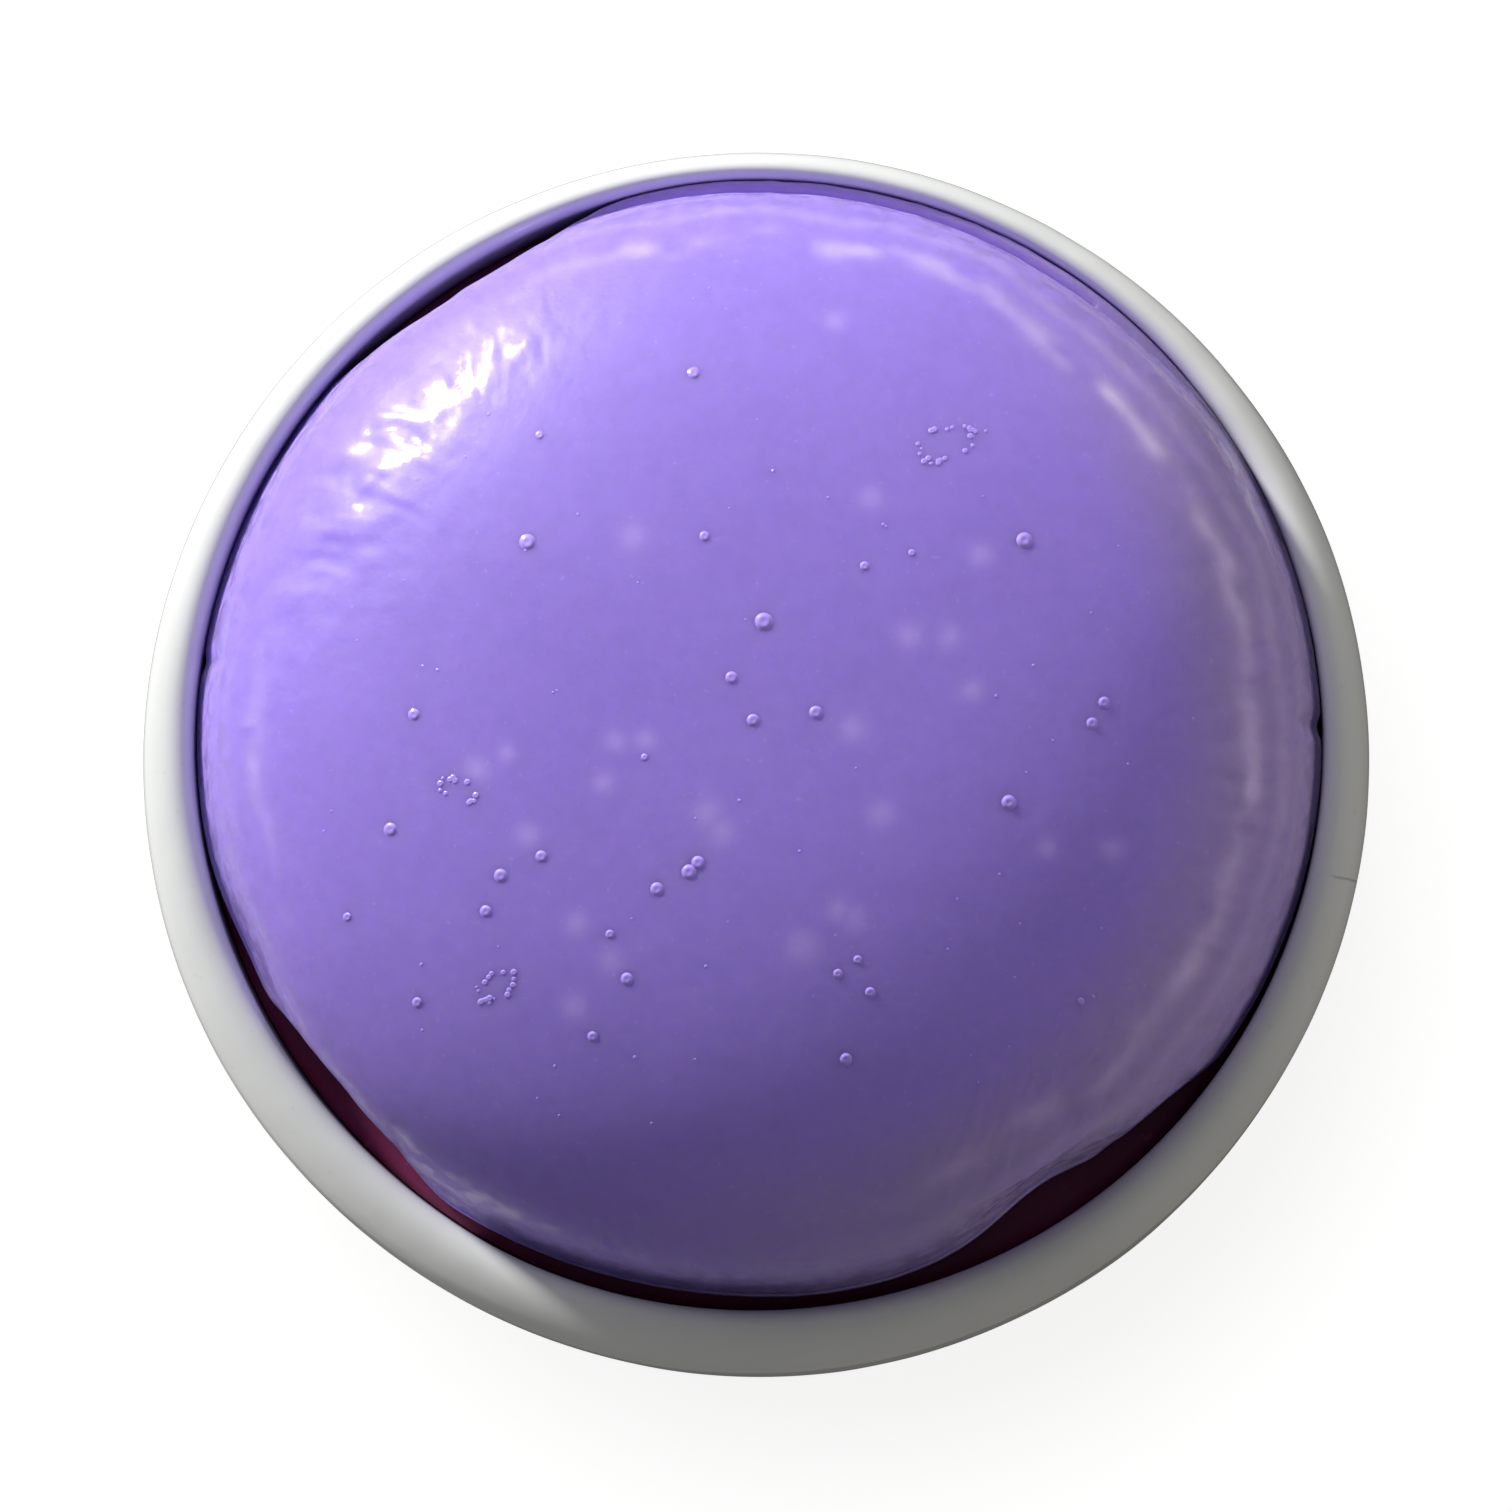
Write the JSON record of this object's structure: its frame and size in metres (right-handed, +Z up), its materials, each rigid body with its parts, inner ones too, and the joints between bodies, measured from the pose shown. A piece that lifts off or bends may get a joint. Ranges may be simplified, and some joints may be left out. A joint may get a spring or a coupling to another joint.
{
  "type": "shaving soap puck",
  "caption": "Domed round shaving soap puck with a trimmed rim, lying loose on a cast soap base in a round glazed dish with a foot ring.",
  "frame": {"origin": "centre of the dish's foot ring, on the surface that the dish stands on", "axes": "+Z up along the dish's axis, +Y away from the viewer and towards the thin side of the lip, +X to the viewer's right"},
  "size_m": [0.0838, 0.0838, 0.0543],
  "materials": {
    "white_glaze": "gloss",
    "plum_soap": "satin",
    "violet_soap": "satin"
  },
  "bodies": {
    "dish": {"dish": "white_glaze", "soap_base": "plum_soap"},
    "puck": {"soap_puck": "violet_soap"}
  },
  "joints": [
    {"name": "puck_lift", "type": "slide", "parent": "dish", "child": "puck", "axis": [0, 0, 1], "range_m": [0, 0.04]}
  ]
}
